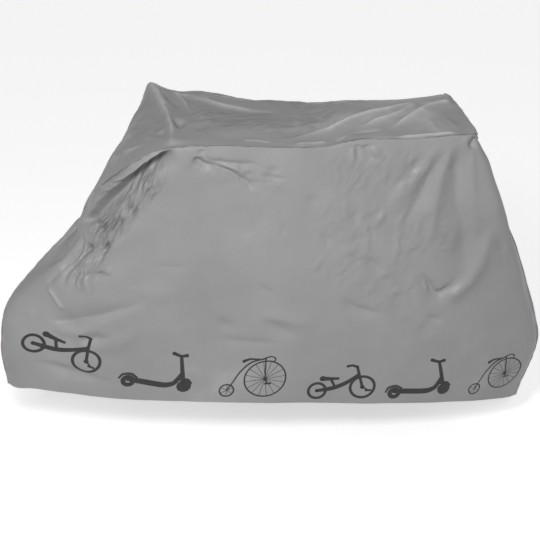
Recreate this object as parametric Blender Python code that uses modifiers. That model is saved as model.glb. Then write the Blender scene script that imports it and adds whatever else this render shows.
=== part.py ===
"""A bicycle cover of thin grey sheeting, as it hangs over a bicycle: hollow, and open at the bottom.

Three cut pieces are joined by seams whose allowances stand out as a narrow fin: a left and a right
side panel, which meet along the front and the rear centre lines, and a top panel that runs from a
point over the front wheel, up to the handlebar and back to a straight rear edge.

Units are metres, +X is the rear of the bicycle and +Z is up. The sizes below are measured along the
bicycle from the middle of its wheelbase, outwards from its middle plane, and up from the ground. The
pieces are then moved so that the origin is the support point under the top panel.
"""

from collections import namedtuple

import bmesh
import bpy
import numpy as np

# Sheeting and seams
THICKNESS = 0.002
SEAM_GAP = 0.0006  # between the two pieces of a seam
FIN_HEIGHT = 0.005  # how far a seam's allowances stand out

# The support point, on the underside of the top panel
SUPPORT_ALONG = 0.100
SUPPORT_HEIGHT = 1.0959

# How finely the pieces are divided
CELLS_FLAP = 16  # along the seam, from the front point to the handlebar's grip
CELLS_TOP = 28  # from the grip to the rear corner
CELLS_REAR = 6  # from the rear corner to the rear centre line
CELLS_DOWN = 24  # from the seam down to the hem
SEAM_CROWDING = 1.25  # over 1, the rows of cells lie closer together near the seam

SHEET_GREY = (0.33, 0.33, 0.335, 1.0)
SHEET_ROUGHNESS = 0.5

# A station is a line that runs down a side panel, from its seam to its hem. Its seam point differs
# from left to right. "out" is a distance from the middle plane. The line bows along the bicycle by
# bow_* at a quarter, a half and three quarters of the way down, and bulges outwards by belly halfway.
Station = namedtuple(
    "Station",
    "name left_along left_out left_height right_along right_out right_height"
    " hem_along hem_out hem_height bow_high bow_mid bow_low belly",
)
STATIONS = [
    Station("front", -.623, .000, .768, -.623, .000, .768, -.870, .000, .213, -.072, -.115, -.078, .000),
    Station("nose", -.610, .040, .812, -.607, .040, .807, -.846, .026, .211, -.045, -.109, -.080, .004),
    Station("fork", -.588, .100, .872, -.557, .100, .869, -.788, .058, .221, -.032, -.070, -.060, .010),
    Station("lamp", -.540, .200, .952, -.493, .200, .957, -.698, .088, .217, -.005, -.030, -.025, .008),
    Station("bend", -.461, .290, 1.033, -.427, .292, 1.059, -.599, .108, .210, .000, -.010, -.010, .004),
    Station("grip", -.360, .315, 1.080, -.388, .332, 1.119, -.485, .126, .204, .000, .000, .000, .000),
    Station("stem", -.250, .306, 1.083, -.262, .308, 1.090, -.365, .143, .202, .000, .000, .000, .004),
    Station("tube", -.080, .290, 1.072, -.085, .288, 1.069, -.175, .160, .199, .000, .000, .000, .006),
    Station("saddle", .070, .280, 1.068, .080, .276, 1.064, .000, .171, .196, .000, .000, .000, .008),
    Station("carrier", .230, .268, 1.087, .240, .266, 1.073, .190, .172, .187, .000, .000, .000, .008),
    Station("basket", .400, .258, 1.093, .410, .258, 1.075, .410, .152, .169, .000, .010, .020, .006),
    Station("tail", .500, .252, 1.094, .515, .254, 1.083, .610, .110, .146, .016, .034, .052, .000),
    Station("corner", .545, .248, 1.094, .562, .250, 1.090, .768, .038, .117, .046, .094, .104, -.011),
    Station("rack", .559, .125, 1.110, .572, .125, 1.122, .806, .018, .112, .042, .100, .124, -.005),
    Station("rear", .570, .000, 1.118, .570, .000, 1.118, .830, .000, .110, .052, .108, .124, .000),
]

# The top panel arches across between its two seams, by "along" and "up" at its highest line, which
# runs at crown_at, from -1 at the left seam to 1 at the right one.
Crown = namedtuple("Crown", "name along up crown_at")
CROWNS = [
    Crown("front", 0.000, 0.000, 0.00),
    Crown("nose", -0.004, 0.002, 0.00),
    Crown("fork", -0.004, 0.008, 0.00),
    Crown("lamp", -0.004, 0.012, 0.10),
    Crown("bend", -0.010, 0.010, 0.20),
    Crown("grip", 0.021, 0.001, 0.20),
    Crown("stem", 0.010, 0.034, 0.50),
    Crown("tube", 0.000, 0.037, 0.40),
    Crown("saddle", 0.000, 0.031, 0.30),
    Crown("carrier", 0.000, 0.035, 0.25),
    Crown("basket", 0.000, 0.039, 0.25),
    Crown("tail", 0.000, 0.042, 0.25),
    Crown("corner", -0.016, 0.043, 0.25),
]
CROWN_POWER = 1.8

# The main folds. Each runs from start to end, bows to its left by bow, and rises outwards (or sinks,
# below zero) by rise, over half widths to its left and its right. On a side panel a level is a height
# from the ground; on the top panel it is a place across, above zero on the right.
Fold = namedtuple(
    "Fold", "start_along start_level end_along end_level bow rise left_width right_width"
)
LEFT_FOLDS = [
    Fold(-0.355, 1.075, -0.600, 0.800, 0.000, -0.030, 0.095, 0.030),  # sunk under the flap's overhang
    Fold(0.600, 0.930, 0.450, 0.540, 0.085, 0.011, 0.026, 0.024),  # curls under the rear corner
    Fold(0.590, 1.020, 0.585, 0.740, 0.010, -0.009, 0.026, 0.022),
    Fold(0.410, 0.660, 0.500, 0.540, 0.000, -0.008, 0.024, 0.024),
    Fold(0.440, 1.070, 0.250, 0.860, -0.010, 0.007, 0.026, 0.030),  # slants down from the rear rack
    Fold(0.500, 1.040, 0.410, 0.830, 0.000, 0.005, 0.024, 0.026),
    Fold(-0.310, 1.060, 0.000, 0.905, 0.012, -0.006, 0.026, 0.024),  # swings back from the grip
    Fold(-0.615, 0.760, -0.690, 0.570, 0.000, -0.009, 0.026, 0.022),  # drawn over the front wheel
    Fold(-0.635, 0.780, -0.750, 0.570, -0.012, 0.007, 0.024, 0.026),
    Fold(-0.540, 0.740, -0.640, 0.620, 0.000, 0.006, 0.026, 0.026),
    Fold(-0.780, 0.480, -0.540, 0.495, 0.000, 0.005, 0.028, 0.028),
    Fold(-0.110, 0.510, 0.090, 0.425, 0.000, 0.005, 0.028, 0.028),
]
RIGHT_FOLDS = [
    Fold(-0.365, 1.080, -0.625, 0.760, 0.000, -0.014, 0.080, 0.030),
    Fold(0.585, 1.000, 0.560, 0.640, 0.030, 0.010, 0.028, 0.028),
    Fold(0.430, 1.060, 0.230, 0.800, -0.015, 0.007, 0.028, 0.030),
    Fold(-0.270, 1.060, -0.060, 0.800, 0.015, -0.007, 0.028, 0.028),
    Fold(-0.600, 0.760, -0.700, 0.540, 0.000, 0.008, 0.028, 0.026),
    Fold(0.050, 0.560, 0.300, 0.470, 0.000, 0.006, 0.030, 0.030),
]
TOP_FOLDS = [
    Fold(-0.388, 0.325, -0.362, -0.310, 0.020, 0.010, 0.040, 0.024),  # over the handlebar
    Fold(-0.385, 0.300, -0.260, -0.080, 0.000, 0.006, 0.022, 0.022),  # fans out from the far grip
    Fold(-0.370, 0.270, 0.110, -0.020, -0.030, 0.006, 0.024, 0.022),
    Fold(0.560, 0.080, -0.080, -0.250, 0.020, 0.010, 0.024, 0.022),  # drawn from the far rear corner
    Fold(0.440, 0.060, 0.040, -0.170, 0.020, -0.006, 0.022, 0.022),
    Fold(0.360, 0.020, -0.140, -0.155, 0.010, 0.007, 0.028, 0.026),
    Fold(0.600, 0.080, 0.260, -0.250, 0.000, 0.007, 0.022, 0.022),
    Fold(0.000, -0.320, 0.140, -0.225, 0.000, 0.006, 0.026, 0.024),
]

LEFT, RIGHT = -1, 1  # the sign of Y


def table(rows, *columns):
    """The named columns of a table, as an array with a row for each of its rows."""
    return np.array([[getattr(row, column) for column in columns] for row in rows])


def unit(vectors):
    return vectors / np.maximum(np.linalg.norm(vectors, axis=-1, keepdims=True), 1e-9)


def divided(*spans):
    """Numbers over spans that follow on from each other, each (start, end, cells), even within each."""
    evens = [np.linspace(start, end, cells + 1)[:-1] for start, end, cells in spans]
    return np.concatenate([*evens, [spans[-1][1]]])


def spline(knots, values, at):
    """A smooth curve through values at knots, read at each number in at, that never swings past them."""
    gaps = np.diff(knots)[:, None]
    slopes = np.diff(values, axis=0) / gaps
    same_way = slopes[:-1] * slopes[1:] > 0
    ahead, behind = np.where(same_way, slopes[1:], 1), np.where(same_way, slopes[:-1], 1)
    longer, shorter = 2 * gaps[1:] + gaps[:-1], gaps[1:] + 2 * gaps[:-1]
    inner = np.where(same_way, (longer + shorter) / (longer / behind + shorter / ahead), 0)
    tangents = np.concatenate([slopes[:1], inner, slopes[-1:]])
    i = np.clip(np.searchsorted(knots, at, side="right") - 1, 0, len(gaps) - 1)
    t = ((at - knots[i]) / gaps[i, 0])[:, None]
    return (
        (2 * t**3 - 3 * t**2 + 1) * values[i]
        + (t**3 - 2 * t**2 + t) * gaps[i] * tangents[i]
        + (3 * t**2 - 2 * t**3) * values[i + 1]
        + (t**3 - t**2) * gaps[i] * tangents[i + 1]
    )


def normals_of(points, side=RIGHT):
    """The outward unit normal at each point of the top panel's grid, or of a side panel's."""
    return side * unit(np.cross(np.gradient(points, axis=0), np.gradient(points, axis=1)))


NAMES = [station.name for station in STATIONS]
GRIP, CORNER = NAMES.index("grip"), NAMES.index("corner")
SEAM_LEFT = table(STATIONS, "left_along", "left_out", "left_height") * (1, LEFT, 1)
SEAM_RIGHT = table(STATIONS, "right_along", "right_out", "right_height") * (1, RIGHT, 1)
SEAM_STEPS = np.linalg.norm(np.diff(SEAM_LEFT, axis=0), axis=1)
KNOTS = np.concatenate([[0], np.cumsum(SEAM_STEPS)])  # how far along the left seam each station is
PLACES = divided(
    (0, KNOTS[GRIP], CELLS_FLAP),
    (KNOTS[GRIP], KNOTS[CORNER], CELLS_TOP),
    (KNOTS[CORNER], KNOTS[-1], CELLS_REAR),
)
ACROSS = divided((-1, 0, CELLS_REAR), (0, 1, CELLS_REAR))
CELLS_LONG = CELLS_FLAP + CELLS_TOP


def creased(points, levels, folds, side=RIGHT):
    """Points of a panel, moved along its normals by its folds."""
    rise = np.zeros(levels.shape)
    for fold in folds:
        along = points[:, :, 0] - fold.start_along
        level = levels - fold.start_level
        run_along, run_level = fold.end_along - fold.start_along, fold.end_level - fold.start_level
        length = np.hypot(run_along, run_level)
        run = (along * run_along + level * run_level) / length**2
        aside = (level * run_along - along * run_level) / length - fold.bow * 4 * run * (1 - run)
        fading = np.clip(4 * run * (1 - run), 0, 1) ** 0.7
        width = np.where(aside > 0, fold.left_width, fold.right_width)
        rise += fold.rise * fading * np.exp(-((aside / width) ** 2))
    return points + normals_of(points, side) * rise[:, :, None]


def top_surface():
    """Points of the top panel: a row for each place along the seam as far as the corner."""
    knots = KNOTS[: CORNER + 1]
    places = PLACES[: CELLS_LONG + 1]
    left = spline(knots, SEAM_LEFT[: CORNER + 1], places)[:, None]
    right = spline(knots, SEAM_RIGHT[: CORNER + 1], places)[:, None]
    crowns = spline(knots, table(CROWNS, "along", "up", "crown_at"), places)
    crest = crowns[:, 2:]
    reach = np.where(ACROSS < crest, 1 + crest, 1 - crest)
    arch = 1 - np.abs((ACROSS - crest) / reach) ** CROWN_POWER
    flat = left + (right - left) * ((ACROSS + 1) / 2)[None, :, None]
    arched = flat + arch[:, :, None] * np.insert(crowns[:, None, :2], 1, 0, axis=2)
    folded = creased(arched, arched[:, :, 1], TOP_FOLDS)
    inside = np.zeros(arch.shape, bool)
    inside[1:-1, 1:-1] = True
    return np.where(inside[:, :, None], folded, arched)


def side_surface(side, top, folds):
    """Points of a side panel: a column for each place along its seam, a row for each step down to the hem."""
    if side == LEFT:
        seam = np.concatenate([top[:, 0], top[-1, 1 : CELLS_REAR + 1]])
    else:
        seam = np.concatenate([top[:, -1], top[-1, CELLS_REAR:-1][::-1]])
    hem = spline(KNOTS, table(STATIONS, "hem_along", "hem_out", "hem_height"), PLACES) * (1, side, 1)
    bows = spline(KNOTS, table(STATIONS, "bow_high", "bow_mid", "bow_low", "belly"), PLACES)
    down = np.linspace(0, 1, CELLS_DOWN + 1) ** SEAM_CROWDING
    ends = np.zeros((len(PLACES), 1))
    quarters = np.concatenate([ends, bows[:, :3], ends], axis=1).T
    flat = seam[:, None] + (hem - seam)[:, None] * down[None, :, None]
    flat[:, :, 0] += spline(np.linspace(0, 1, 5), quarters, down).T
    flat[:, :, 1] += side * bows[:, 3:] * 4 * down * (1 - down)
    folded = creased(flat, flat[:, :, 2], folds, side)
    folded[:, 0] = seam
    folded[0, :, 1] = folded[-1, :, 1] = 0
    return folded


def seam_fins(top, left, right):
    """The way the allowances stand out at each point of each piece's seams."""
    over = normals_of(top)
    beside = {LEFT: normals_of(left, LEFT), RIGHT: normals_of(right, RIGHT)}
    front, rear = (unit(beside[LEFT][end] + beside[RIGHT][end]) for end in (0, -1))
    front[0] = unit(front[1] + beside[LEFT][1, 0] + beside[RIGHT][1, 0] + over[1, CELLS_REAR])
    round_top = {
        LEFT: np.concatenate([over[1:, 0], over[-1, 1 : CELLS_REAR + 1]]),
        RIGHT: np.concatenate([over[1:, -1], over[-1, CELLS_REAR:-1][::-1]]),
    }
    fins = {}
    for side in (LEFT, RIGHT):
        along = unit(round_top[side] + beside[side][1:, 0])
        along[-1] = unit(over[-1, CELLS_REAR] + rear[0])
        fins[side] = np.concatenate([front[::-1], along, rear[1:]])
    upper = {side: fins[side][CELLS_DOWN:-CELLS_DOWN] for side in fins}
    fins["top"] = np.concatenate([upper[LEFT], upper[RIGHT][-2:0:-1]])
    return fins


def standing(edge, fins, inwards, closed=False):
    """An edge moved into its own piece by half the seam, and the top of the fin over each point of it."""
    if closed:
        before, after = np.roll(edge, 1, axis=0), np.roll(edge, -1, axis=0)
    else:
        before = np.concatenate([2 * edge[:1] - edge[1:2], edge[:-1]])
        after = np.concatenate([edge[1:], 2 * edge[-1:] - edge[-2:-1]])
    aside_before = inwards * unit(np.cross(fins, edge - before))
    aside_after = inwards * unit(np.cross(fins, after - edge))
    turn = np.sum(aside_before * aside_after, axis=1, keepdims=True)
    root = edge + (aside_before + aside_after) / (1 + turn) * (SEAM_GAP + THICKNESS) / 2
    return root, root + fins * FIN_HEIGHT


def side_sheet(grid, fins, side):
    """A side panel's grid with its seam edges moved into place, its fins' roots and their tops."""
    edge = np.concatenate([grid[0, ::-1], grid[1:, 0], grid[-1, 1:]])
    roots, tips = standing(edge, fins, side)
    placed = grid.copy()
    placed[0, ::-1] = roots[: CELLS_DOWN + 1]
    placed[1:, 0] = roots[CELLS_DOWN + 1 : -CELLS_DOWN]
    placed[-1, 1:] = roots[-CELLS_DOWN:]
    return placed, roots, tips


def top_sheet(grid, fins):
    """The top panel's grid with its edge moved into place, its fins' roots and their tops."""
    edge = np.concatenate([grid[:, 0], grid[-1, 1:], grid[-2:0:-1, -1]])
    roots, tips = standing(edge, fins, RIGHT, closed=True)
    placed = grid.copy()
    placed[:, 0] = roots[: CELLS_LONG + 1]
    placed[-1, 1:] = roots[CELLS_LONG + 1 : 1 - CELLS_LONG]
    placed[-2:0:-1, -1] = roots[1 - CELLS_LONG :]
    placed[0] = roots[0]
    return placed, roots, tips


def build(name, placed, roots, tips, collection, material):
    """A piece of sheeting: a grid laid on its surface, with fins raised on its seam edges, and thickened."""
    shape = bmesh.new()
    columns, rows = placed.shape[0] - 1, placed.shape[1] - 1
    bmesh.ops.create_grid(shape, x_segments=columns, y_segments=rows, size=1)
    for corner in shape.verts:
        column, row = round((corner.co.x + 1) / 2 * columns), round((corner.co.y + 1) / 2 * rows)
        corner.co = placed[column, row]
    bmesh.ops.remove_doubles(shape, verts=shape.verts, dist=0.00001)

    def nearest_root(corner):
        away = np.linalg.norm(roots - np.array(corner.co), axis=1)
        return away.argmin(), away.min()

    at_seam = {corner for corner in shape.verts if nearest_root(corner)[1] < 0.00001}
    seam = [edge for edge in shape.edges if edge.is_boundary and at_seam.issuperset(edge.verts)]
    raised = bmesh.ops.extrude_edge_only(shape, edges=seam)["geom"]
    for corner in raised:
        if isinstance(corner, bmesh.types.BMVert):
            corner.co = tips[nearest_root(corner)[0]]
    bmesh.ops.recalc_face_normals(shape, faces=shape.faces)
    bmesh.ops.translate(shape, verts=shape.verts, vec=(-SUPPORT_ALONG, 0, -SUPPORT_HEIGHT))

    mesh = bpy.data.meshes.new(name)
    shape.to_mesh(mesh)
    shape.free()
    mesh.materials.append(material)
    piece = bpy.data.objects.new(name, mesh)
    collection.objects.link(piece)
    thicken = piece.modifiers.new("thickness", "SOLIDIFY")
    thicken.thickness = THICKNESS
    thicken.offset = 0
    thicken.use_even_offset = True
    thicken.use_quality_normals = True
    split = piece.modifiers.new("triangles", "TRIANGULATE")
    split.quad_method = "SHORTEST_DIAGONAL"
    return piece


def sheeting(name, shade):
    """The sheeting's material, a little lighter or darker by shade."""
    material = bpy.data.materials.new(name)
    material.use_nodes = True
    surface = material.node_tree.nodes["Principled BSDF"]
    surface.inputs["Base Color"].default_value = (*(channel * shade for channel in SHEET_GREY[:3]), 1)
    surface.inputs["Roughness"].default_value = SHEET_ROUGHNESS
    return material


def main():
    for thing in list(bpy.data.objects):
        bpy.data.objects.remove(thing)
    collection = bpy.data.collections.new("bicycle_cover")
    bpy.context.scene.collection.children.link(collection)

    top = top_surface()
    left = side_surface(LEFT, top, LEFT_FOLDS)
    right = side_surface(RIGHT, top, RIGHT_FOLDS)
    fins = seam_fins(top, left, right)
    build("left_panel", *side_sheet(left, fins[LEFT], LEFT), collection, sheeting("left_sheeting", 1.0))
    build("right_panel", *side_sheet(right, fins[RIGHT], RIGHT), collection, sheeting("right_sheeting", 0.98))
    build("top_panel", *top_sheet(top, fins["top"]), collection, sheeting("top_sheeting", 1.02))


main()
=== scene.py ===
"""How the bicycle cover looks: three panels of thin grey sheeting, creased and seamed, with a printed row.

The draped shape is in metres, measured along the bicycle from the middle of its wheelbase, outwards from
its middle plane and up from the ground. Folds and prints are measured likewise, in millimetres. All is
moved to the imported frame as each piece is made.
"""

import math  # noqa: E402
from collections import namedtuple  # noqa: E402

import bpy  # noqa: E402
import numpy as np  # noqa: E402
from mathutils import Matrix, Vector  # noqa: E402


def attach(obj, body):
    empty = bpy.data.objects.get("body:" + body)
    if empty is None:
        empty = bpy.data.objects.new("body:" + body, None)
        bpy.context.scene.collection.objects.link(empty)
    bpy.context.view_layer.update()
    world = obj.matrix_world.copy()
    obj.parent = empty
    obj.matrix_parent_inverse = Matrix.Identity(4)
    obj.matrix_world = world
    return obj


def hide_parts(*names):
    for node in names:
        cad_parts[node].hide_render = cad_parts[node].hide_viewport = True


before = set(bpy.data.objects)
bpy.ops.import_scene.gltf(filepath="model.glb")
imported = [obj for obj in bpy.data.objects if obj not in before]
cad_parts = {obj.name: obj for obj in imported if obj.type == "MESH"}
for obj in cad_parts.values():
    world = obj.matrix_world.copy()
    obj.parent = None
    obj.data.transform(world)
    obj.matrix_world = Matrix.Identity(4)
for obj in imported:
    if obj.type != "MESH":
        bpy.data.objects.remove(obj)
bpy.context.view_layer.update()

LEFT, RIGHT = -1, 1  # the sign of Y
SUPPORT = np.array((0.100, 0.0, 1.0959))  # the frame's origin, under the top panel

# -------------------- the draped shape, as in the solids
Station = namedtuple(
    "Station",
    "name left_along left_out left_height right_along right_out right_height"
    " hem_along hem_out hem_height bow_high bow_mid bow_low belly",
)
STATIONS = [
    Station("front", -.623, .000, .768, -.623, .000, .768, -.870, .000, .213, -.072, -.115, -.078, .000),
    Station("nose", -.610, .040, .812, -.607, .040, .807, -.846, .026, .211, -.045, -.109, -.080, .004),
    Station("fork", -.588, .100, .872, -.557, .100, .869, -.788, .058, .221, -.032, -.070, -.060, .010),
    Station("lamp", -.540, .200, .952, -.493, .200, .957, -.698, .088, .217, -.005, -.030, -.025, .008),
    Station("bend", -.461, .290, 1.033, -.427, .292, 1.059, -.599, .108, .210, .000, -.010, -.010, .004),
    Station("grip", -.360, .315, 1.080, -.388, .332, 1.119, -.485, .126, .204, .000, .000, .000, .000),
    Station("stem", -.250, .306, 1.083, -.262, .308, 1.090, -.365, .143, .202, .000, .000, .000, .004),
    Station("tube", -.080, .290, 1.072, -.085, .288, 1.069, -.175, .160, .199, .000, .000, .000, .006),
    Station("saddle", .070, .280, 1.068, .080, .276, 1.064, .000, .171, .196, .000, .000, .000, .008),
    Station("carrier", .230, .268, 1.087, .240, .266, 1.073, .190, .172, .187, .000, .000, .000, .008),
    Station("basket", .400, .258, 1.093, .410, .258, 1.075, .410, .152, .169, .000, .010, .020, .006),
    Station("tail", .500, .252, 1.094, .515, .254, 1.083, .610, .110, .146, .016, .034, .052, .000),
    Station("corner", .545, .248, 1.094, .562, .250, 1.090, .768, .038, .117, .046, .094, .104, -.011),
    Station("rack", .559, .125, 1.110, .572, .125, 1.122, .806, .018, .112, .042, .100, .124, -.005),
    Station("rear", .570, .000, 1.118, .570, .000, 1.118, .830, .000, .110, .052, .108, .124, .000),
]
Crown = namedtuple("Crown", "name along up crown_at")
CROWNS = [
    Crown("front", 0.000, 0.000, 0.00),
    Crown("nose", -0.004, 0.002, 0.00),
    Crown("fork", -0.004, 0.008, 0.00),
    Crown("lamp", -0.004, 0.012, 0.10),
    Crown("bend", -0.010, 0.010, 0.20),
    Crown("grip", 0.021, 0.001, 0.20),
    Crown("stem", 0.010, 0.034, 0.50),
    Crown("tube", 0.000, 0.037, 0.40),
    Crown("saddle", 0.000, 0.031, 0.30),
    Crown("carrier", 0.000, 0.035, 0.25),
    Crown("basket", 0.000, 0.039, 0.25),
    Crown("tail", 0.000, 0.042, 0.25),
    Crown("corner", -0.016, 0.043, 0.25),
]
CROWN_POWER = 1.8

# Between the stations a seam of the top also rises by rise, round the place along, over about reach each way.
Swell = namedtuple("Swell", "along reach rise")
SWELLS = {
    LEFT: [Swell(.165, .045, .009), Swell(.350, .065, -.007)],
    RIGHT: [Swell(-.390, .012, .003), Swell(-.345, .026, -.013)],
}

# How finely the panels are divided: along the seam from the front to the grip, on to the rear corner and to
# the rear centre line, and down from the seam to the hem
CELLS_FLAP, CELLS_TOP, CELLS_REAR, CELLS_DOWN = 160, 180, 80, 208
SEAM_CROWDING = 1.12  # over 1, the rows of cells lie closer together near the seam
SMOOTHING = 80  # rounds of evening out between neighbouring points
FIN_SMOOTHING = 6

# The fins that the seams' allowances make
FIN_ROWS = 3
FIN_HEIGHT = 0.0032
FIN_NOTCH = 0.03  # how long their ups and downs are
FIN_WAVES = ((0.024, 0.0026), (0.10, 0.0016))  # how long and how high the waves are that they lean in
SEAM_GAP = 0.0003

# Folds fade towards a panel's edges, over a share of the way down or across and over a number of cells
SIDE_HOLD, SIDE_HOLD_FRONT, SIDE_HOLD_REAR = 0.012, 7, 11
TOP_HOLD, TOP_HOLD_FRONT, TOP_HOLD_REAR = 0.05, 10, 5
HOLLOW_HOLD, GROOVE_HOLD = 0.10, 0.03  # hollows fade from the front edge over these lengths

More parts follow.
